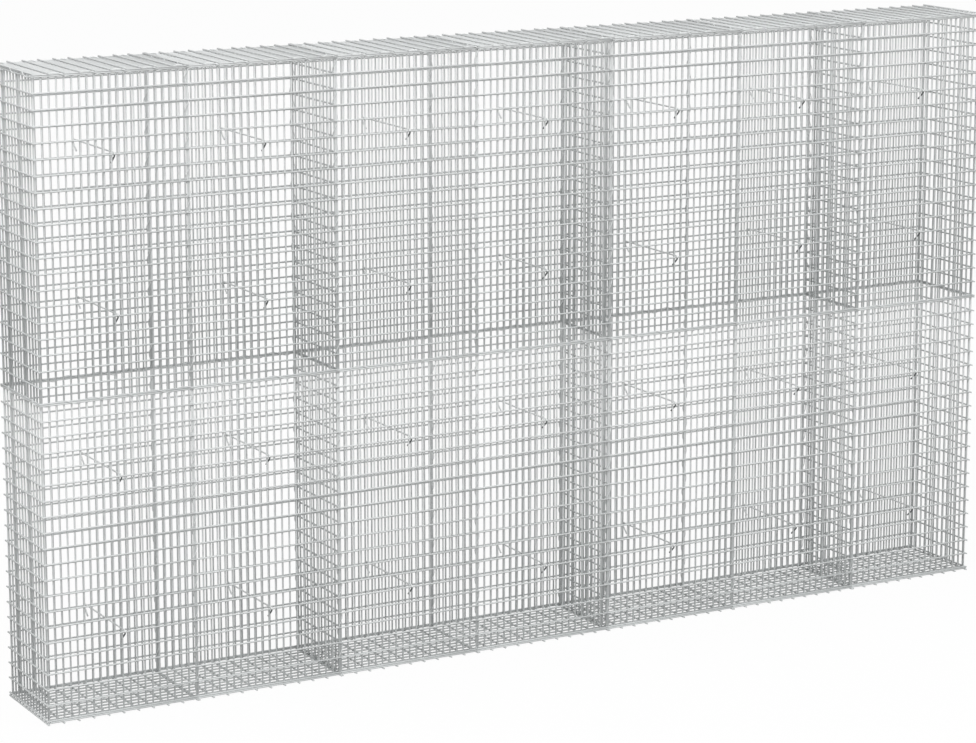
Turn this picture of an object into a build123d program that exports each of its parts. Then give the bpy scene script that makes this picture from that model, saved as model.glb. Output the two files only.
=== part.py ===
"""An empty gabion wall: two tiers of welded wire mesh panels in three bays and a half bay.

The wall is a long cage that is bound together from flat mesh panels. Every panel has two layers of wire:
coarse-pitch wires on its outer side, and fine-pitch wires welded behind them. Base and cover panels lie
flat, front and back panels stand on the long sides, and short panels close the ends and divide the bays.
Hooked ties run from front to back through the cage, and a spiral binder laces the upper tier to the lower
one along the front and along the back.

Of each panel's wires, its edge wires and some between them are solids here, each where the real wire is.
X runs along the wall, Y from front to back and Z up. The origin is under the middle of the base.
"""

import os
from functools import cache
from math import cos, radians, sin, sqrt

from build123d import *

# Size of the wall, in millimetres
column_width = 500.0
columns = 7
end_mesh_depth = 300.0
tier_height = 1000.0
partition_after = (2, 4, 6)

# Wire and the mesh it makes
wire = 5.0
coarse_spaces_per_panel = 20
cross_spaces_per_column = 10
fine_spaces_per_column = 20
fine_spaces_over_depth = 12

# Every how many spaces a wire is modelled as a solid
coarse_step = 5
cross_step = 5
fine_step = 10
depth_step = 6

# How far a cross wire stands out past the front and back of the wall
stub = 5.0

# Clearance between pieces that are bound together
seat = 0.3

# Hooked tie: the height of its hook, how far its tip points back into the cage, and the rows it hooks
hook_drop = 34.0
hook_return = 28.0
tie_rows = (5, 15)

# Spiral binder: its wire, how far a turn takes it along, and the straight lengths that make a turn
binder_wire = 3.0
coil_pitch = 100.0
coil_lengths = 6

layer = 2.0 * wire
length = columns * column_width
inside = end_mesh_depth + wire
depth = inside + 2.0 * (layer + seat)
height = 2.0 * tier_height
left = -length / 2.0
front = -depth / 2.0
panel_height = tier_height - layer - seat / 2.0
bay_ends = (0,) + partition_after + (columns,)
bays = list(zip(bay_ends[:-1], bay_ends[1:]))
tiers = {"lower": layer, "upper": tier_height + seat / 2.0}

# The hook drops clear of the row it hangs on before it turns inwards
hook_bend = 1.9 * wire

# The coil goes round the two edge wires at the seam of the tiers and, inside, behind an upright wire
coil_room = binder_wire / sqrt(2.0) + seat / 2.0
coil_inset = 0.84 * wire
coil_radius = coil_inset + (wire + seat / 2.0 + 2.0 * coil_room) / sqrt(3.0)


def wire_places(span, spaces, step):
    """Centres of the modelled wires that share a span evenly, from its low end."""
    pitch = (span - wire) / spaces
    return [wire / 2.0 + pitch * number for number in range(0, spaces + 1, step)]


def column_span(column):
    """Low and high X of the panel in one column, with half the seat left free at each seam."""
    low = left + column * column_width + (seat / 2.0 if column > 0 else 0.0)
    high = left + (column + 1) * column_width - (seat / 2.0 if column < columns - 1 else 0.0)
    return low, high


def side_span(column):
    """Low and high X of a front or back panel, which stops short of the end panels' outer wires."""
    low, high = column_span(column)
    low += wire + seat if column == 0 else 0.0
    high -= wire + seat if column == columns - 1 else 0.0
    return low, high


def middle(span):
    """The place halfway along a span."""
    return sum(span) / 2.0


def width(span):
    """How wide a span is, rounded so that equal panels share one drawing."""
    return round(span[1] - span[0], 3)


@cache
def side_panel(panel_width):
    """Front panel about its middle, from its face inwards: wires along the wall, then upright wires."""
    with BuildPart() as panel:
        rows = wire_places(panel_height, coarse_spaces_per_panel, coarse_step)
        with Locations(*[(0.0, wire / 2.0, z) for z in rows]):
            Box(panel_width, wire, wire)
        uprights = wire_places(panel_width, fine_spaces_per_column, fine_step)
        with Locations(*[(x - panel_width / 2.0, 1.5 * wire, panel_height / 2.0) for x in uprights]):
            Box(wire, wire, panel_height)
    return panel.part


@cache
def flat_panel(panel_width):
    """Base panel about its middle, from its underside up: wires across the wall, then wires along it."""
    with BuildPart() as panel:
        across = wire_places(panel_width, cross_spaces_per_column, cross_step)
        with Locations(*[(x - panel_width / 2.0, 0.0, wire / 2.0) for x in across]):
            Box(wire, depth + 2.0 * stub, wire)
        along = wire_places(depth, fine_spaces_over_depth, depth_step)
        with Locations(*[(0.0, y - depth / 2.0, 1.5 * wire) for y in along]):
            Box(panel_width, wire, wire)
    return panel.part


@cache
def cross_panel(row_length):
    """Left end panel or, with short rows, a partition: wires across the wall, then upright wires."""
    with BuildPart() as panel:
        rows = wire_places(panel_height, coarse_spaces_per_panel, coarse_step)
        with Locations(*[(wire / 2.0, 0.0, z) for z in rows]):
            Box(wire, row_length, wire)
        uprights = wire_places(inside, fine_spaces_over_depth, depth_step)
        with Locations(*[(1.5 * wire, y - inside / 2.0, panel_height / 2.0) for y in uprights]):
            Box(wire, wire, panel_height)
    return panel.part


@cache
def tie():
    """Wire from the front mesh to the back mesh that hooks a row of each, about the middle of its top."""
    reach = -front + wire / 2.0 + seat
    with BuildPart() as hooked:
        with BuildLine(Plane.YZ) as route:
            Polyline(
                (-reach + hook_return, -hook_drop),
                (-reach, -hook_bend),
                (-reach, 0.0),
                (reach, 0.0),
                (reach, -hook_bend),
                (reach - hook_return, -hook_drop),
            )
        start = route.wires()[0]
        with BuildSketch(Plane(origin=start @ 0, x_dir=(1, 0, 0), z_dir=start % 0)):
            Rectangle(wire, wire)
        sweep(transition=Transition.RIGHT)
    return hooked.part


@cache
def binder():
    """Spiral along the wall about its own axis, in front of the mesh at each seam between columns."""
    step = coil_pitch / coil_lengths
    turns = [(number * step, radians(number * 360.0 / coil_lengths)) for number in range(1, 999)]
    with BuildPart() as spiral:
        with BuildLine() as route:
            Polyline(
                *[
                    (left + along, -coil_radius * cos(angle), -coil_radius * sin(angle))
                    for along, angle in turns
                    if along < length - step / 2.0
                ]
            )
        start = route.wires()[0]
        with BuildSketch(Plane(origin=start @ 0, x_dir=(0, 1, 0), z_dir=start % 0)):
            Rectangle(binder_wire, binder_wire)
        sweep(transition=Transition.RIGHT)
    return spiral.part


def turned(x, y, z):
    """A place at which a piece is turned to face the other way along both X and Y."""
    return Location((x, y, z), (0.0, 0.0, 180.0))


def save(name, pieces):
    """Write one named sub-part, from pairs of a solid and its place that stay clear of each other."""
    with BuildPart() as node:
        add([solid.moved(place) for solid, place in pieces])
    node.part.label = name
    export_step(node.part, "parts/" + name + ".step")


os.makedirs("parts", exist_ok=True)

for bay, (first, last) in enumerate(bays, start=1):
    flats = [column_span(column) for column in range(first, last)]
    sides = [side_span(column) for column in range(first, last)]
    lid = (180.0, 0.0, 0.0)
    save(f"base_bay_{bay}", [(flat_panel(width(s)), Location((middle(s), 0.0, 0.0))) for s in flats])
    save(
        f"cover_bay_{bay}",
        [(flat_panel(width(s)), Location((middle(s), 0.0, height), lid)) for s in flats],
    )
    for tier, foot in tiers.items():
        save(
            f"front_{tier}_bay_{bay}",
            [(side_panel(width(s)), Location((middle(s), front, foot))) for s in sides],
        )
        save(
            f"back_{tier}_bay_{bay}",
            [(side_panel(width(s)), turned(middle(s), -front, foot)) for s in sides],
        )

for tier, foot in tiers.items():
    end_panel = cross_panel(depth + 2.0 * stub)
    save(f"left_end_{tier}", [(end_panel, Location((left, 0.0, foot)))])
    save(f"right_end_{tier}", [(end_panel, turned(-left, 0.0, foot))])
    partition = cross_panel(inside)
    for number, column in enumerate(partition_after, start=1):
        seam = left + column * column_width
        save(f"partition_{number}_{tier}", [(partition, turned(seam + wire, 0.0, foot))])
    rows = wire_places(panel_height, coarse_spaces_per_panel, 1)
    beside = wire + seat
    for name, row in zip(("low", "high"), tie_rows):
        top = foot + rows[row] + beside
        ties = [(tie(), Location((middle(side_span(column)) + beside, 0.0, top))) for column in range(columns)]
        save(f"ties_{tier}_{name}", ties)

save("binder_middle_front", [(binder(), Location((0.0, front + coil_inset, tier_height)))])
save("binder_middle_back", [(binder(), turned(0.0, -front - coil_inset, tier_height))])
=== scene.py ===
import logging
import math
from dataclasses import dataclass, field
from enum import Enum

import bpy
import numpy as np
from mathutils import Euler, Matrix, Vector


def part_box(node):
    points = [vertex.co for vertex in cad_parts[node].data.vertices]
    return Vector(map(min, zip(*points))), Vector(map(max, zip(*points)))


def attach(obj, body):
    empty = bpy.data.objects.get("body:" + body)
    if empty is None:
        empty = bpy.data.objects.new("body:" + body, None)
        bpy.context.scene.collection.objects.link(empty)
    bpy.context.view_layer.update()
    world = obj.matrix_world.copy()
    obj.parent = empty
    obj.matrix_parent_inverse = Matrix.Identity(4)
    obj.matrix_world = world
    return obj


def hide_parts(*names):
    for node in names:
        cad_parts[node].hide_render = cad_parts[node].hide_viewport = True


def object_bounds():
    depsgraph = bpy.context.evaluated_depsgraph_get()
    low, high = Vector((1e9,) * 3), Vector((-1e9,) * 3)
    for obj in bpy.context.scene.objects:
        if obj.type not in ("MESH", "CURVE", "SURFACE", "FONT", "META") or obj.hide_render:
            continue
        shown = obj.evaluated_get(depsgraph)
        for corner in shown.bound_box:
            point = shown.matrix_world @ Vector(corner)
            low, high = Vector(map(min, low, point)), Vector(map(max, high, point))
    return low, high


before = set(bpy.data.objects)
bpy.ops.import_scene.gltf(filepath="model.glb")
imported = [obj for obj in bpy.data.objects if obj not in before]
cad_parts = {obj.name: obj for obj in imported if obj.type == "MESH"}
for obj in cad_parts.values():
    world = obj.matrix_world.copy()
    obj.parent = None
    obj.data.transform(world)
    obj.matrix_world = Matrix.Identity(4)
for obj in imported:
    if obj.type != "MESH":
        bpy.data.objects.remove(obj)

# An empty gabion wall of welded wire mesh: two tiers of panels in three bays and a half bay, hooked ties
# through the cage, and spiral binders at the seams. X runs along the wall, Y from front to back, Z up.

CAD_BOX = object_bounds()
ROOT = "root"
MM_PER_M = 1000.0
FULL_TURN = 2.0 * np.pi
log = logging.getLogger("gabion_wall")


class Axis(Enum):
    """The wall's own directions: along it, from front to back, and up."""

    X = 0
    Y = 1
    Z = 2

    @property
    def unit(self) -> np.ndarray:
        """The direction as a unit vector."""
        return np.eye(3)[self.value]


class Side(Enum):
    """The two long sides of the wall, each with the way along Y that leads into the cage."""

    FRONT = 1.0
    BACK = -1.0

    @property
    def word(self) -> str:
        """The side's word in the names of nodes and pieces."""
        return self.name.lower()


def linear(code: str) -> tuple[float, float, float, float]:
    """Turn an sRGB hex colour into the linear one that a shader takes.

    Args:
        code: six hex digits, with or without a leading hash.

    Returns:
        Linear red, green and blue, and an alpha of 1.
    """
    raw = np.array([int(code.lstrip("#")[i : i + 2], 16) for i in (0, 2, 4)]) / 255.0
    low, high = raw / 12.92, ((raw + 0.055) / 1.055) ** 2.4
    return (*np.where(raw <= 0.04045, low, high).tolist(), 1.0)


def add_node(
    tree: bpy.types.NodeTree,
    kind: str,
    settings: dict[str | int, object] | None = None,
    links: dict[str | int, bpy.types.NodeSocket] | None = None,
) -> bpy.types.Node:
    """Add one shader node with its settings and the links into it.

    Args:
        tree: the node tree to add to.
        kind: the node's Blender type name.
        settings: values for its inputs, by name or number, and for its own attributes, by name.
        links: output sockets that feed its inputs, by the input's name or number.

    Returns:
        The new node.
    """
    node = tree.nodes.new(kind)
    for name, value in (settings or {}).items():
        if isinstance(name, int) or name in node.inputs:
            node.inputs[name].default_value = value
        else:
            setattr(node, name, value)
    for name, socket in (links or {}).items():
        tree.links.new(socket, node.inputs[name])
    return node


def background_rays(tree: bpy.types.NodeTree) -> bpy.types.NodeSocket:
    """Tell the rays that show the background, straight or in a reflection, from those that light.

    Args:
        tree: the node tree of the floor's material or of the world.

    Returns:
        A socket that is 1 for rays from the camera or off a glossy surface, and otherwise 0.
    """
    rays = add_node(tree, "ShaderNodeLightPath").outputs
    return add_node(
        tree,
        "ShaderNodeMath",
        {"operation": "ADD", "use_clamp": True},
        {0: rays["Is Camera Ray"], 1: rays["Is Glossy Ray"]},
    ).outputs[0]


@dataclass(frozen=True)
class ZincWire:
    """Hot-dip galvanised steel wire: drawn steel with a dull zinc skin.

    The zinc crystals give the eye a faint mottle. Its wires are painted a little paler at the top of a tier
    than at its foot: painted shade that darkens each tier towards its foot. The dull skin scatters far more
    light than it mirrors, so the wire is hardly metallic to the eye, and rough.

    Attributes:
        name: the material's name.
        pale: colour at the top of a tier, where the painted shade is lightest.
        deep: colour at its foot, darkened by painted shade.
        roughness: mean roughness of the skin.
        rough_spread: how far below and above the mean the crystals take it.
        metallic: how metallic the skin looks.
        crystal_mm: size of a zinc crystal.
        mottle: share of the step from deep to pale that the crystals take up.
        grit_mm: size of the skin's grit. The real grit is finer and wouldn't show even close up, so it is
            drawn as coarse as it needs to show there.
        grit_height_mm: how high the grit stands.
        grit_strength: strength of the bump that the grit makes.
        tier_m: height of a tier.
    """

    name: str
    pale: str = "#D6D8D8"
    deep: str = "#CCCFCF"
    roughness: float = 0.50
    rough_spread: tuple[float, float] = (0.08, 0.10)
    metallic: float = 0.10
    crystal_mm: float = 7.0
    mottle: float = 0.30
    grit_mm: float = 0.9
    grit_height_mm: float = 0.1
    grit_strength: float = 0.12
    tier_m: float = 1.0

    def material(self) -> bpy.types.Material:
        """Build the node material.

        Returns:
            The material, with its patterns on Object coordinates.
        """
        made = bpy.data.materials.new(self.name)
        made.use_nodes = True
        tree = made.node_tree
        shader = tree.nodes["Principled BSDF"]
        shader.inputs["Metallic"].default_value = self.metallic
        place = add_node(tree, "ShaderNodeTexCoord").outputs["Object"]
        crystals = add_node(
            tree,
            "ShaderNodeTexNoise",
            {"Scale": MM_PER_M / self.crystal_mm, "Detail": 2.0, "Roughness": 0.55},
            {"Vector": place},
        ).outputs["Fac"]
        tree.links.new(self.tone(tree, place, crystals), shader.inputs["Base Color"])
        least, most = self.rough_spread
        rough = add_node(
            tree,
            "ShaderNodeMapRange",
            {"To Min": self.roughness - least, "To Max": self.roughness + most},
            {"Value": crystals},
        ).outputs[0]
        tree.links.new(rough, shader.inputs["Roughness"])
        grit = add_node(
            tree,
            "ShaderNodeTexNoise",
            {"Scale": MM_PER_M / self.grit_mm, "Detail": 1.0},
            {"Vector": place},
        ).outputs["Fac"]
        bump = add_node(
            tree,
            "ShaderNodeBump",
            {"Strength": self.grit_strength, "Distance": self.grit_height_mm / MM_PER_M},
            {"Height": grit},
        ).outputs["Normal"]
        tree.links.new(bump, shader.inputs["Normal"])
        return made

    def tone(
        self, tree: bpy.types.NodeTree, place: bpy.types.NodeSocket, crystals: bpy.types.NodeSocket
    ) -> bpy.types.NodeSocket:
        """Blend the two colours by height within a tier, as painted shade, with the crystals' mottle added.

        Args:
            tree: the material's node tree.
            place: the Object coordinates.
            crystals: the crystals' noise, between 0 and 1.

        Returns:
            The colour's socket.
        """
        # Just under one whole tier, so that the wall's top isn't taken for the foot of a third one.
        whole_tier = 0.999
        height = add_node(tree, "ShaderNodeSeparateXYZ", links={0: place}).outputs["Z"]
        tiers = add_node(
            tree, "ShaderNodeMath", {"operation": "MULTIPLY", 1: whole_tier / self.tier_m}, {0: height}
        ).outputs[0]
        # Painted shade: the height within a tier takes the colour from deep at its foot to pale at its top.
        painted_shade_fac = add_node(tree, "ShaderNodeMath", {"operation": "FRACT"}, {0: tiers}).outputs[0]
        spread = add_node(
            tree,
            "ShaderNodeMath",
            {"operation": "MULTIPLY_ADD", 1: self.mottle, 2: -self.mottle / 2.0},
            {0: crystals},
        ).outputs[0]
        blend = add_node(
            tree, "ShaderNodeMath", {"operation": "ADD", "use_clamp": True}, {0: painted_shade_fac, 1: spread}
        ).outputs[0]
        ramp = add_node(tree, "ShaderNodeValToRGB", links={"Fac": blend})
        ramp.color_ramp.elements[0].color = linear(self.deep)
        ramp.color_ramp.elements[1].color = linear(self.pale)
        return ramp.outputs["Color"]


@dataclass(frozen=True)
class PaleFloor:
    """Matt white studio floor, which the camera sees near white and which keeps the wall's shadow.

    It throws little light back up, so that the undersides of the wires stay as dark as in a soft box.

    Attributes:
        name: the material's name.
        colour: the colour that the camera sees.
        bounce: share of the light that it throws back at the wall.
        own_glow: share of the seen white that no shadow darkens.
    """

    name: str = "matt white studio floor"
    colour: str = "#FAFAFA"
    bounce: float = 0.06
    own_glow: float = 0.93

    def material(self) -> bpy.types.Material:
        """Build the node material.

        Returns:
            A diffuse white that also shows white to camera and glossy rays.
        """
        made = bpy.data.materials.new(self.name)
        made.use_nodes = True
        tree = made.node_tree
        tree.nodes.clear()
        seen = background_rays(tree)
        share = add_node(
            tree, "ShaderNodeMath", {"operation": "MULTIPLY", 1: self.own_glow}, {0: seen}
        ).outputs[0]
        tone = add_node(
            tree,
            "ShaderNodeMapRange",
            {"To Min": self.bounce, "To Max": linear(self.colour)[0]},
            {"Value": seen},
        ).outputs[0]
        matt = add_node(tree, "ShaderNodeBsdfDiffuse", links={"Color": tone}).outputs[0]
        glow = add_node(tree, "ShaderNodeEmission", {"Strength": 1.0}).outputs[0]
        mixed = add_node(tree, "ShaderNodeMixShader", links={0: share, 1: matt, 2: glow}).outputs[0]
        add_node(tree, "ShaderNodeOutputMaterial", links={"Surface": mixed})
        return made


@dataclass
class Surface:
    """Points and faces of one piece, gathered as whole arrays until they go into a mesh."""

    points: list[np.ndarray] = field(default_factory=list)
    faces: list[np.ndarray] = field(default_factory=list)
    smooth: list[bool] = field(default_factory=list)
    count: int = 0

    def add(self, points: np.ndarray, faces: list[tuple[np.ndarray, bool]]) -> None:
        """Add points and the faces on them.

        Args:
            points: an array of points, three numbers each.
            faces: pairs of an array of faces, as indices into the points, and whether they shade smooth.
        """
        for rows, smooth in faces:
            self.faces.append(rows + self.count)
            self.smooth.append(smooth)
        self.points.append(points)
        self.count += len(points)

    def build(self, name: str, finish: bpy.types.Material) -> bpy.types.Object:
        """Put the surface into a mesh object at the origin.

        Args:
            name: the piece's name.
            finish: its material.

        Returns:
            The new object, linked into the scene.
        """
        points = np.concatenate(self.points)
        loops = np.concatenate([rows.ravel() for rows in self.faces])
        totals = np.concatenate([np.full(len(rows), rows.shape[1]) for rows in self.faces])
        smooth = np.concatenate([np.full(len(rows), soft) for rows, soft in zip(self.faces, self.smooth)])
        mesh = bpy.data.meshes.new(name)
        mesh.vertices.add(len(points))
        mesh.vertices.foreach_set("co", points.astype(np.float32).ravel())
        mesh.loops.add(len(loops))
        mesh.loops.foreach_set("vertex_index", loops.astype(np.int32))
        mesh.polygons.add(len(totals))
        mesh.polygons.foreach_set("loop_start", np.r_[0, np.cumsum(totals)[:-1]].astype(np.int32))
        mesh.polygons.foreach_set("use_smooth", smooth)
        mesh.materials.append(finish)
        mesh.update(calc_edges=True)
        mesh.validate()
        piece = bpy.data.objects.new(name, mesh)
        bpy.context.scene.collection.objects.link(piece)
        return piece


def settle(
    surface: Surface, name: str, finish: bpy.types.Material, node: str | None = None
) -> bpy.types.Object:
    """Build one piece that rides on the wall, and report it.

    Args:
        surface: its points and faces.
        name: its name.
        finish: its material.
        node: the frame's node that it stands for, if the frame has one.

    Returns:
        The piece.
    """
    piece = surface.build(name, finish)
    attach(piece, ROOT)
    if node:
        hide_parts(node)
    log.info("%s: %d faces", piece.name, len(piece.data.polygons))
    return piece


def nodes(*starts: str) -> list[str]:
    """Names of the frame's nodes that start with one of the given words, in order."""
    return [name for name in sorted(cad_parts) if name.startswith(starts)]


def carry_circle(
    surface: Surface,
    paths: np.ndarray,
    radii: np.ndarray,
    aside: np.ndarray,
    sides: int,
    bevelled: bool = False,
) -> None:
    """Carry a circle along many paths at once, and close each end with a flat cap.

    A point is path(t) + radius(t) * (cos(a) * across + sin(a) * over), where across is the unit normal of
    the path's direction and the given one aside, and over completes the right-handed set.

    Args:
        surface: the surface to add to.
        paths: many paths of the same number of points, as an array of paths, points and coordinates.
        radii: the circle's radius at each point of a path.
        aside: a direction that no path runs along.
        sides: how many sides the circle has.
        bevelled: whether a path's first and last stretch are bevels, which shade flat.
    """
    way = np.gradient(paths, axis=1)
    way /= np.linalg.norm(way, axis=2, keepdims=True)
    across = np.cross(way, aside)
    across /= np.linalg.norm(across, axis=2, keepdims=True)
    over = np.cross(way, across)
    turn = np.arange(sides) * FULL_TURN / sides
    ring = (
        np.cos(turn)[None, None, :, None] * across[:, :, None, :]
        + np.sin(turn)[None, None, :, None] * over[:, :, None, :]
    )
    points = paths[:, :, None, :] + radii[None, :, None, None] * ring
    many, stations = paths.shape[:2]
    index = np.arange(many * stations * sides).reshape(many, stations, sides)
    after = np.roll(index, -1, axis=2)
    quads = np.stack([index[:, :-1], after[:, :-1], after[:, 1:], index[:, 1:]], axis=-1)
    ends = quads[:, [0, -1]] if bevelled else quads[:, :0]
    tube = quads[:, 1:-1] if bevelled else quads
    caps = np.concatenate([index[:, 0, ::-1], index[:, -1]])
    surface.add(
        points.reshape(-1, 3),
        [(tube.reshape(-1, 4), True), (ends.reshape(-1, 4), False), (caps, False)],
    )


def straight_wires(
    surface: Surface, starts: np.ndarray, ends: np.ndarray, radius: float, aside: Axis
) -> None:
    """Add straight round wires, each with a small bevel round its sheared ends.

    Each wire is a circle carried along start + t * (end - start). Its radius is smaller by the bevel at
    both ends, and whole from a bevel's length inside them.

    Args:
        surface: the surface to add to.
        starts: the first end of each wire.
        ends: the last end of each wire.
        radius: the wire's radius.
        aside: an axis that the wires don't run along.
    """
    sides = 8
    bevel = 0.2 * radius
    run = ends - starts
    run /= np.linalg.norm(run, axis=1, keepdims=True)
    paths = np.stack([starts, starts + bevel * run, ends - bevel * run, ends], axis=1)
    radii = np.array([radius - bevel, radius, radius, radius - bevel])
    carry_circle(surface, paths, radii, aside.unit, sides, bevelled=True)


def weld_beads(surface: Surface, centres: np.ndarray, normal: Axis, reach: float) -> None:
    """Add the small bead of metal that a spot weld squeezes out where two wires cross.

    A bead is two low cones on one six-sided rim: rim(a) = centre + reach * (cos(a), sin(a)) in the
    panel's plane, and its tips lie half as far along the panel's normal, inside the two wires.

    Args:
        surface: the surface to add to.
        centres: where the wires touch.
        normal: the axis across the panel.
        reach: the rim's radius.
    """
    sides = 6
    turn = np.arange(sides) * FULL_TURN / sides + np.pi / sides
    one, two = (axis.unit for axis in Axis if axis is not normal)
    rim = reach * (np.cos(turn)[:, None] * one + np.sin(turn)[:, None] * two)
    tip = 0.5 * reach * normal.unit
    if np.dot(np.cross(one, two), normal.unit) < 0.0:
        rim = rim[::-1]
    shape = np.concatenate([rim, [tip], [-tip]])
    points = centres[:, None, :] + shape[None]
    here = np.arange(sides)
    there = np.roll(here, -1)
    upper, lower = np.full(sides, sides), np.full(sides, sides + 1)
    cones = np.concatenate([np.stack([here, there, upper], axis=1), np.stack([there, here, lower], axis=1)])
    step = np.arange(len(centres))[:, None, None] * len(shape)
    surface.add(points.reshape(-1, 3), [((cones[None] + step).reshape(-1, 3), True)])


@dataclass
class WallSizes:
    """Sizes of the wall in metres, taken from the frame where it holds them.

    Attributes:
        wire: thickness of a mesh wire.
        zinc: how much thicker it is drawn all round, as coated wire looks in the photograph.
        seat: clearance between pieces that are bound together.
        weld_sink: how far a spot weld sinks one wire into the other.
        bead_reach: radius of the bead of metal round a spot weld.
        column: width of a column of panels.
        tier: height of a tier of panels.
        coarse_spaces: spaces between the wires along the wall, over a tier.
        cross_spaces: spaces between the cross wires of a base or cover, over a column.
        fine_spaces: spaces between upright wires, over a column.
        depth_spaces: spaces between wires over the wall's depth.
        binder_wire: thickness of a spiral's wire.
        binder_pitch: how far one turn takes a spiral along.
    """

    wire: float = 0.005
    zinc: float = 0.0003
    seat: float = 0.0003
    weld_sink: float = 0.0005
    bead_reach: float = 0.0031
    column: float = 0.5
    tier: float = 1.0
    coarse_spaces: int = 20
    cross_spaces: int = 10
    fine_spaces: int = 20
    depth_spaces: int = 12
    binder_wire: float = 0.0026
    binder_pitch: float = 0.1

    @property
    def low(self) -> np.ndarray:
        """Lowest corner of the mesh, without what stands out past its front face."""
        return np.array([CAD_BOX[0][0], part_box("front_lower_bay_1")[0][1], CAD_BOX[0][2]])

    @property
    def high(self) -> np.ndarray:
        """Highest corner of the mesh, without what stands out past its back face."""
        return np.array([CAD_BOX[1][0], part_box("back_lower_bay_1")[1][1], CAD_BOX[1][2]])

    @property
    def columns(self) -> int:
        """How many columns of panels the wall is long."""
        return round((self.high[0] - self.low[0]) / self.column)

    @property
    def tiers(self) -> int:
        """How many tiers of panels the wall is high."""
        return round((self.high[2] - self.low[2]) / self.tier)

    def face(self, side: Side) -> float:
        """Y of the outer face of the mesh on one long side."""
        return self.low[1] if side is Side.FRONT else self.high[1]

    def seam(self, number: int) -> float:
        """X of the seam before the numbered column."""
        return self.low[0] + number * self.column

    def spans(self, node: str) -> list[tuple[float, float]]:
        """Low and high X of each panel that a node holds.

        Args:
            node: the name of a base, cover, front or back node.

        Returns:
            One pair to a column.
        """
        low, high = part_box(node)
        first = round((low[0] - self.low[0]) / self.column)
        last = round((high[0] - self.low[0]) / self.column)
        half = self.seat / 2.0
        inner = [self.seam(number) for number in range(first + 1, last)]
        starts = [low[0]] + [x + half for x in inner]
        ends = [x - half for x in inner] + [high[0]]
        return list(zip(starts, ends))

    def shares(self, low: float, high: float, spaces: int) -> np.ndarray:
        """Centres of the wires that part a span into equal spaces, the outermost flush with its ends."""
        return np.linspace(low + self.wire / 2.0, high - self.wire / 2.0, spaces + 1)


@dataclass
class Layer:
    """One layer of parallel wires in a panel.

    Attributes:
        run: the axis that the wires run along.
        places: where their centres lie along the axis of the panel's other layer.
        reach: where every wire starts and ends.
    """

    run: Axis
    places: np.ndarray
    reach: tuple[float, float]


@dataclass
class Mesh:
    """One flat panel of welded mesh: an outer layer of wires, and an inner one welded across it.

    Attributes:
        sizes: the wall's sizes.
        normal: the axis across the panel.
        face: the place of its outer face on that axis.
        inward: 1 or -1, the way along that axis from the outer layer to the inner one.
        outer: the outer layer.
        inner: the inner layer.
    """

    sizes: WallSizes
    normal: Axis
    face: float
    inward: float
    outer: Layer
    inner: Layer

    def lay(self, surface: Surface) -> None:
        """Add both layers of wire and the welds between them.

        A wire's centre line is a point that keeps its own place along the other layer's axis and runs
        over its reach along its own. An outer wire just touches the panel's face from within, and an
        inner one lies a wire further in, less what the weld sinks it. A weld lies halfway between them.

        Args:
            surface: the surface to add to.
        """
        s = self.sizes
        outer_depth = self.face + self.inward * (s.wire / 2.0 + s.zinc)
        inner_depth = outer_depth + self.inward * (s.wire - s.weld_sink)
        self.add_wires(surface, self.outer, self.inner.run, outer_depth)
        self.add_wires(surface, self.inner, self.outer.run, inner_depth)
        outer_places, inner_places = np.meshgrid(self.outer.places, self.inner.places, indexing="ij")
        centres = np.zeros((outer_places.size, 3))
        centres[:, self.inner.run.value] = outer_places.ravel()
        centres[:, self.outer.run.value] = inner_places.ravel()
        centres[:, self.normal.value] = (outer_depth + inner_depth) / 2.0
        weld_beads(surface, centres, self.normal, s.bead_reach)

    def add_wires(self, surface: Surface, layer: Layer, across: Axis, depth: float) -> None:
        """Add the wires of one layer.

        Args:
            surface: the surface to add to.
            layer: the layer.
            across: the axis that its wires are spaced along.
            depth: the place of their centres on the panel's normal.
        """
        starts = np.zeros((len(layer.places), 3))
        starts[:, across.value] = layer.places
        starts[:, self.normal.value] = depth
        ends = starts.copy()
        starts[:, layer.run.value], ends[:, layer.run.value] = layer.reach
        radius = self.sizes.wire / 2.0 + self.sizes.zinc
        straight_wires(surface, starts, ends, radius, self.normal)


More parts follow.
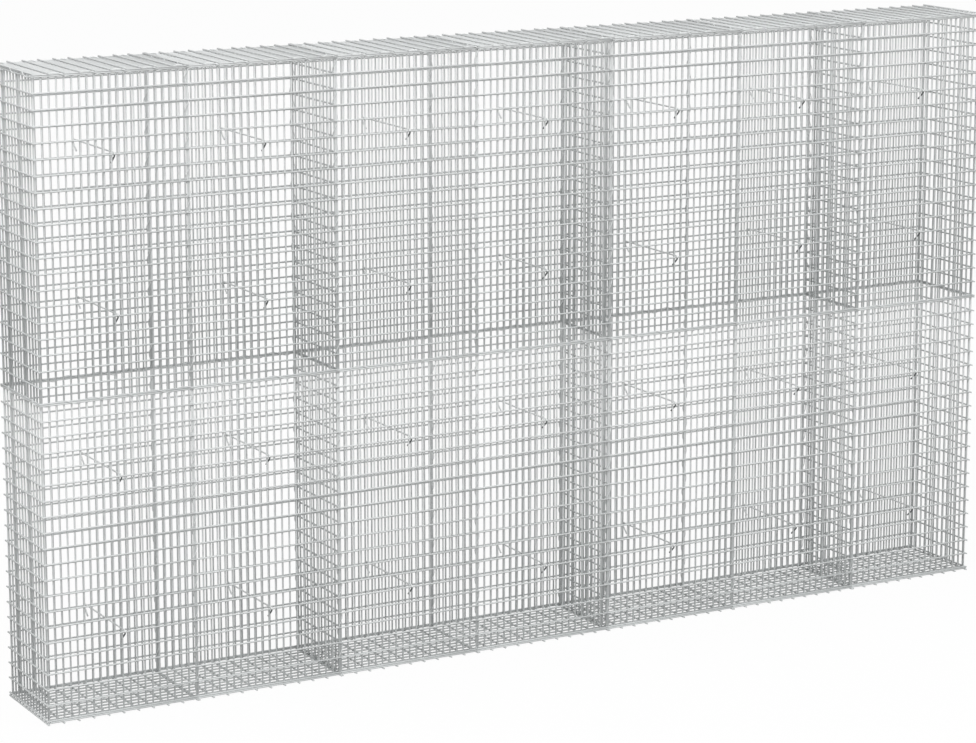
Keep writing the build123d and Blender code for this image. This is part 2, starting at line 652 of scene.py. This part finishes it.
@dataclass
class Panels:
    """All mesh panels of the wall, one piece to a node.

    Attributes:
        sizes: the wall's sizes.
        finish: the material of the mesh wire.
    """

    sizes: WallSizes
    finish: bpy.types.Material

    def dress(self, node: str, meshes: list[Mesh]) -> None:
        """Build the meshes as one piece that stands for a node.

        Args:
            node: the name of the node.
            meshes: the panels that it holds.
        """
        surface = Surface()
        for mesh in meshes:
            mesh.lay(surface)
        settle(surface, "mesh_" + node, self.finish, node)

    def side(self, node: str) -> None:
        """Dress a front or back node: wires along the wall outside, upright wires inside.

        Args:
            node: the name of the node.
        """
        s = self.sizes
        low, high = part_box(node)
        side = Side.FRONT if node.startswith(Side.FRONT.word) else Side.BACK
        face = low[1] if side is Side.FRONT else high[1]
        rows = s.shares(low[2], high[2], s.coarse_spaces)
        meshes = []
        for start, end in s.spans(node):
            along = Layer(Axis.X, rows, (start, end))
            upright = Layer(Axis.Z, s.shares(start, end, s.fine_spaces), (low[2], high[2]))
            meshes.append(Mesh(s, Axis.Y, face, side.value, outer=along, inner=upright))
        self.dress(node, meshes)

    def flat(self, node: str) -> None:
        """Dress a base or cover node: cross wires on its outer face, long wires inside.

        Args:
            node: the name of the node.
        """
        s = self.sizes
        low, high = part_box(node)
        face, inward = (low[2], 1.0) if node.startswith("base") else (high[2], -1.0)
        long_at = s.shares(s.low[1], s.high[1], s.depth_spaces)
        meshes = []
        for start, end in s.spans(node):
            across = Layer(Axis.Y, s.shares(start, end, s.cross_spaces), (low[1], high[1]))
            along = Layer(Axis.X, long_at, (start, end))
            meshes.append(Mesh(s, Axis.Z, face, inward, outer=across, inner=along))
        self.dress(node, meshes)

    def cross(self, node: str) -> None:
        """Dress an end or partition node: wires across the wall on one face, upright ones behind.

        Args:
            node: the name of the node.
        """
        s = self.sizes
        low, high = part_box(node)
        face, inward = (low[0], 1.0) if node.startswith("left") else (high[0], -1.0)
        inset = 2.0 * s.wire + s.seat
        rows = s.shares(low[2], high[2], s.coarse_spaces)
        upright_at = s.shares(s.low[1] + inset, s.high[1] - inset, s.depth_spaces)
        across = Layer(Axis.Y, rows, (low[1], high[1]))
        upright = Layer(Axis.Z, upright_at, (low[2], high[2]))
        self.dress(node, [Mesh(s, Axis.X, face, inward, outer=across, inner=upright)])

    def build(self) -> None:
        """Dress every mesh node of the frame."""
        for node in sorted(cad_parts):
            if node.startswith(("front", "back")):
                self.side(node)
            elif node.startswith(("base", "cover")):
                self.flat(node)
            elif node.startswith(("left_end", "right_end", "partition")):
                self.cross(node)


@dataclass
class Ties:
    """Hooked cross ties: each lies on a wire of the front mesh and of the back mesh, and hooks both.

    Its front hook is drawn in a dark material: painted shade for the hook, which turns down and back
    into the cage.

    Attributes:
        sizes: the wall's sizes.
        finish: the material of a tie.
        shaded: the dark material of its front hook, painted shade.
        straight: how far a hook drops before it turns inwards.
        drop: height of a hook.
        back_in: how far its tip points back into the cage.
        bend: how far from a corner its bend starts and ends.
        bend_points: points on each bend.
        wire_sides: sides of the wire.
    """

    sizes: WallSizes
    finish: bpy.types.Material
    rubbed: bpy.types.Material
    straight: float = 0.0095
    drop: float = 0.034
    back_in: float = 0.028
    bend: float = 0.0045
    bend_points: int = 6
    wire_sides: int = 10

    def route(self) -> np.ndarray:
        """Centre line of one tie in Y and Z, about the middle of the wall and the top of its row.

        The line is the back half, made of straight runs with bends between them, and its mirror image.
        A bend is (1 - u)^2 * start + 2 u (1 - u) * corner + u^2 * end, with its start and end on the runs
        before and after the corner.

        Returns:
            Points as rows of Y and Z, from the tip of the back hook to the tip of the front hook.
        """
        reach = self.sizes.high[1] + self.sizes.wire / 2.0 + self.sizes.seat
        corners = np.array(
            [
                [reach - self.back_in, -self.drop],
                [reach, -self.straight],
                [reach, 0.0],
                [0.0, 0.0],
            ]
        )
        points = [corners[:1]]
        u = np.linspace(0.0, 1.0, self.bend_points)[:, None]
        for before, corner, after in zip(corners[:-2], corners[1:-1], corners[2:]):
            to_before = (before - corner) / np.linalg.norm(before - corner)
            to_after = (after - corner) / np.linalg.norm(after - corner)
            start, end = corner + self.bend * to_before, corner + self.bend * to_after
            points.append((1 - u) ** 2 * start + 2 * u * (1 - u) * corner + u**2 * end)
        half = np.concatenate(points)
        return np.concatenate([half, (half * [-1.0, 1.0])[::-1]])

    def build(self) -> None:
        """Dress every tie node with one tie to a column, its front hook apart from the rest of it.

        A hook is a tie's last bend and tip, and starts at the point where the rest ends.
        """
        s = self.sizes
        spans = [span for node in nodes("front_lower") for span in s.spans(node)]
        middles = np.array([sum(span) / 2.0 for span in spans])
        line = self.route()
        hook = self.bend_points + 1
        for node in nodes("ties"):
            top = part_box(node)[1][2] - s.wire / 2.0
            paths = np.zeros((len(middles), len(line), 3))
            paths[:, :, 0] = middles[:, None] + s.wire + s.seat
            paths[:, :, 1] = line[None, :, 0]
            paths[:, :, 2] = line[None, :, 1] + top
            for word, part, finish in (
                ("wire_", paths[:, : 1 - hook], self.finish),
                # Painted shade: the front hook is drawn in the dark material.
                ("hook_", paths[:, -hook:], self.rubbed),
            ):
                surface = Surface()
                radii = np.full(part.shape[1], s.wire / 2.0)
                carry_circle(surface, part, radii, Axis.X.unit, self.wire_sides)
                settle(surface, word + node, finish, node)


@dataclass
class Binders:
    """Spiral binders: a helix of wire screwed round the edge wires of the panels that meet at a seam.

    Attributes:
        sizes: the wall's sizes.
        finish: the material of the spirals.
        coil: radius of a spiral's centre line.
        wide_coil: the same where it goes round a partition's edge wire too.
        margin: how far a spiral ends short of its seam's ends.
        edge_room: how far a centre line stays inside the wall's top and bottom, in wires of the spiral.
        modelled_lengths: straight lengths in a turn of the modelled spirals.
        turn_points: points in a turn of a spiral.
        wire_sides: sides of its wire.
        upright_turn: the angle that a spiral up the wall starts at, in turns.
        cross_turn: the angle that a spiral across the wall starts at, in turns.
    """

    sizes: WallSizes
    finish: bpy.types.Material
    coil: float = 0.0070
    wide_coil: float = 0.0078
    margin: float = 0.014
    edge_room: float = 0.55
    modelled_lengths: float = 6.0
    turn_points: int = 16
    wire_sides: int = 6
    upright_turn: float = 0.1
    cross_turn: float = 0.4

    def helices(
        self, surface: Surface, run: Axis, starts: np.ndarray, length: float, coil: float, turn: float
    ) -> None:
        """Add right-handed helices of one length along one axis.

        A helix is start + run * t + coil * (cos(a) * one + sin(a) * two), a = 2 pi (turn + t / pitch),
        where run, one and two are a right-handed set.

        Args:
            surface: the surface to add to.
            run: the axis that the helices run along.
            starts: where each centre line starts.
            length: how long each helix is.
            coil: the radius of its centre line.
            turn: the angle that it starts at, in turns.
        """
        pitch = self.sizes.binder_pitch
        t = np.linspace(0.0, length, round(length / pitch * self.turn_points) + 1)
        angle = FULL_TURN * (turn + t / pitch)
        one, two = (Axis((run.value + step) % 3).unit for step in (1, 2))
        line = (
            t[:, None] * run.unit
            + coil * np.cos(angle)[:, None] * one
            + coil * np.sin(angle)[:, None] * two
        )
        radii = np.full(len(t), self.sizes.binder_wire / 2.0)
        carry_circle(surface, starts[:, None, :] + line[None], radii, run.unit, self.wire_sides)

    def piece(self, name: str, surface: Surface, node: str | None = None) -> None:
        """Build one piece of binders that rides on the wall.

        Args:
            name: the piece's name.
            surface: its helices.
            node: the frame's node that it stands for, if the frame has one.
        """
        made = settle(surface, name, self.finish, node)

    def partition_seams(self) -> list[int]:
        """Find the seams between columns that have a partition behind them.

        Returns:
            The seams' numbers.
        """
        s = self.sizes
        edges = [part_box(node)[0][0] for node in nodes("partition") if node.endswith("lower")]
        return [round((edge + s.wire - s.low[0]) / s.column) for edge in edges]

    def upright(self) -> None:
        """Build the binders up the seams of the front and the back, one to a tier."""
        s = self.sizes
        partitions = self.partition_seams()
        length = s.tier - 2.0 * self.margin
        for side in Side:
            plain, wide = [], []
            for tier in range(s.tiers):
                z = tier * s.tier + self.margin
                for number in range(1, s.columns):
                    row, wires_in = (wide, 2.0) if number in partitions else (plain, 1.5)
                    row.append((s.seam(number), s.face(side) + side.value * wires_in * s.wire, z))
            surface = Surface()
            self.helices(surface, Axis.Z, np.array(plain), length, self.coil, self.upright_turn)
            self.helices(surface, Axis.Z, np.array(wide), length, self.wide_coil, self.upright_turn)
            self.piece(f"binder_{side.word}_seams", surface)

    def lengthwise(self) -> None:
        """Build the binders along the top edge and the middle seam of the front and the back.

        As the modelled one between the tiers, each starts one of its straight lengths in from the wall's
        end, and stands farthest out at each seam between columns.
        """
        s = self.sizes
        step = s.binder_pitch / self.modelled_lengths
        length = s.high[0] - s.low[0] - 2.0 * step
        levels = {"middle": s.low[2] + s.tier, "top": s.high[2] - 2.0 * s.wire}
        for side in Side:
            node = f"binder_middle_{side.word}"
            low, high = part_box(node)
            y = (low[1] + high[1]) / 2.0
            farthest_out = 0.5 if side is Side.FRONT else 0.0
            turn = farthest_out + step / s.binder_pitch
            for level, z in levels.items():
                surface = Surface()
                start = np.array([[s.low[0] + step, y, z]])
                self.helices(surface, Axis.X, start, length, self.coil, turn)
                self.piece(f"spiral_{level}_{side.word}", surface, node if level == "middle" else None)

    def crosswise(self) -> None:
        """Build the binders across the wall.

        They lie at the foot of each partition, at every seam at the top, where those of both ends lie
        half a wire in, and at the ends and partitions between the tiers.
        """
        s = self.sizes
        lift = self.coil + self.edge_room * s.binder_wire
        seams = np.arange(s.columns + 1)
        half_in = np.zeros(len(seams))
        half_in[0], half_in[-1] = s.wire / 2.0, -s.wire / 2.0
        ends = [node for node in nodes("left_end", "right_end", "partition") if node.endswith("lower")]
        middles = [(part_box(node)[0][0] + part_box(node)[1][0]) / 2.0 for node in ends]
        levels = {
            "bottom": (s.low[2] + lift, s.low[0] + np.array(self.partition_seams()) * s.column),
            "top": (s.high[2] - lift, s.low[0] + seams * s.column + half_in),
            "middle": (s.low[2] + s.tier, np.array(middles)),
        }
        y = s.low[1] + self.margin
        length = s.high[1] - s.low[1] - 2.0 * self.margin
        for level, (z, places) in levels.items():
            starts = np.stack([places, np.full_like(places, y), np.full_like(places, z)], axis=1)
            surface = Surface()
            self.helices(surface, Axis.Y, starts, length, self.coil, self.cross_turn)
            self.piece(f"binder_cross_{level}", surface)

    def build(self) -> None:
        """Build every binder."""
        self.upright()
        self.lengthwise()
        self.crosswise()


@dataclass(frozen=True)
class SoftLamp:
    """A square lamp with a soft front, turned to the middle of the wall.

    Attributes:
        name: its name.
        place: where it hangs, in metres.
        size: the length of its sides, in metres.
        power: its power in watts.
    """

    name: str
    place: tuple[float, float, float]
    size: float
    power: float

    def hang(self, target: Vector) -> None:
        """Add the lamp to the scene.

        Args:
            target: the point that it faces.
        """
        data = bpy.data.lights.new(self.name, "AREA")
        data.size, data.energy = self.size, self.power
        lamp = bpy.data.objects.new(self.name, data)
        lamp.location = self.place
        lamp.rotation_euler = (target - Vector(self.place)).to_track_quat("-Z", "Y").to_euler()
        bpy.context.scene.collection.objects.link(lamp)


@dataclass
class Studio:
    """Floor, soft light and the camera at the photograph's angle.

    Attributes:
        lamps: one high up in front of the left half, one far out to the left, and one low in front.
        surround: strength of the white surround as a light. The camera sees it at a strength of 1.
        floor_half: half the width of the floor, in metres.
        target: the middle of the wall, which the lamps face.
        wide_px: the photograph's width in pixels.
        focal_px: the lens's focal length in the photograph's pixels.
        sensor_mm: width of the camera's sensor.
        camera_at: the camera's place, found from the photograph.
        yaw: its turn to the right from looking square at the front, in radians.
        pitch: its tilt below level, in radians.
        shift: the lens's shift, as a share of the frame's width.
        sight: how far the camera sees, in metres.
    """

    lamps: tuple[SoftLamp, ...] = (
        SoftLamp("key", (-9.0, -12.0, 17.0), 8.0, 1650.0),
        SoftLamp("side", (-26.0, -6.0, 11.0), 9.0, 500.0),
        SoftLamp("front", (-3.0, -21.0, 5.0), 8.0, 1350.0),
    )
    surround: float = 0.69
    floor_half: float = 60.0
    target: tuple[float, float, float] = (0.0, 0.0, 1.0)
    wide_px: float = 976.0
    focal_px: float = 3143.8
    sensor_mm: float = 36.0
    camera_at: tuple[float, float, float] = (-5.0618, -8.8038, 3.1312)
    yaw: float = 0.51133
    pitch: float = 0.18665
    shift: float = -0.10
    sight: float = 200.0

    def build(self) -> None:
        """Set the stage, the world, the lamps and the camera."""
        self.floor()
        self.world()
        for lamp in self.lamps:
            lamp.hang(Vector(self.target))
        self.camera()
        bpy.context.scene.view_settings.view_transform = "Standard"

    def floor(self) -> None:
        """Lay a large flat floor under the wall."""
        half = self.floor_half
        corners = [(-half, -half, 0.0), (half, -half, 0.0), (half, half, 0.0), (-half, half, 0.0)]
        mesh = bpy.data.meshes.new("floor")
        mesh.from_pydata(corners, [], [(0, 1, 2, 3)])
        mesh.materials.append(PaleFloor().material())
        floor = bpy.data.objects.new("floor", mesh)
        bpy.context.scene.collection.objects.link(floor)

    def world(self) -> None:
        """Make the white studio surround, which the camera sees as white."""
        world = bpy.data.worlds.new("studio")
        world.use_nodes = True
        tree = world.node_tree
        tree.nodes.clear()
        strength = add_node(
            tree,
            "ShaderNodeMapRange",
            {"To Min": self.surround, "To Max": 1.0},
            {"Value": background_rays(tree)},
        ).outputs[0]
        white = {"Color": linear("#FFFFFF")}
        light = add_node(tree, "ShaderNodeBackground", white, {"Strength": strength}).outputs[0]
        add_node(tree, "ShaderNodeOutputWorld", links={"Surface": light})
        bpy.context.scene.world = world

    def camera(self) -> None:
        """Add the camera at the place and angle found for the photograph."""
        data = bpy.data.cameras.new("camera")
        data.sensor_fit = "HORIZONTAL"
        data.sensor_width = self.sensor_mm
        data.lens = self.focal_px / self.wide_px * self.sensor_mm
        data.shift_y = self.shift
        data.clip_end = self.sight
        camera = bpy.data.objects.new("camera", data)
        camera.location = self.camera_at
        camera.rotation_euler = Euler((math.pi / 2.0 - self.pitch, 0.0, -self.yaw))
        bpy.context.scene.collection.objects.link(camera)
        bpy.context.scene.camera = camera


def main() -> None:
    """Build the wall's visual pieces and its studio, in order."""
    logging.basicConfig(level=logging.INFO, format="%(name)s %(message)s")
    sizes = WallSizes()
    mesh_wire = ZincWire("galvanised steel mesh wire").material()
    # Painted light: the ties are drawn in a brighter copy of the mesh wire's colour, against the shade
    # that the front mesh casts into the cage, and look nearly white beside it. The spirals are drawn in the
    # same brighter colour.
    lightened_tie_wire = ZincWire("galvanised steel tie wire", pale="#ECEEEE", deep="#E2E4E4").material()
    # Painted shade: the front hooks of the ties are drawn dark.
    shaded_hook_wire = ZincWire("rubbed steel tie hook", pale="#666A6A", deep="#5C6060").material()
    binder_wire = ZincWire("galvanised steel spiral wire", pale="#ECEEEE", deep="#E2E4E4").material()
    Panels(sizes, mesh_wire).build()
    Ties(sizes, lightened_tie_wire, shaded_hook_wire).build()
    Binders(sizes, binder_wire).build()
    Studio().build()


if __name__ == "__main__":
    main()
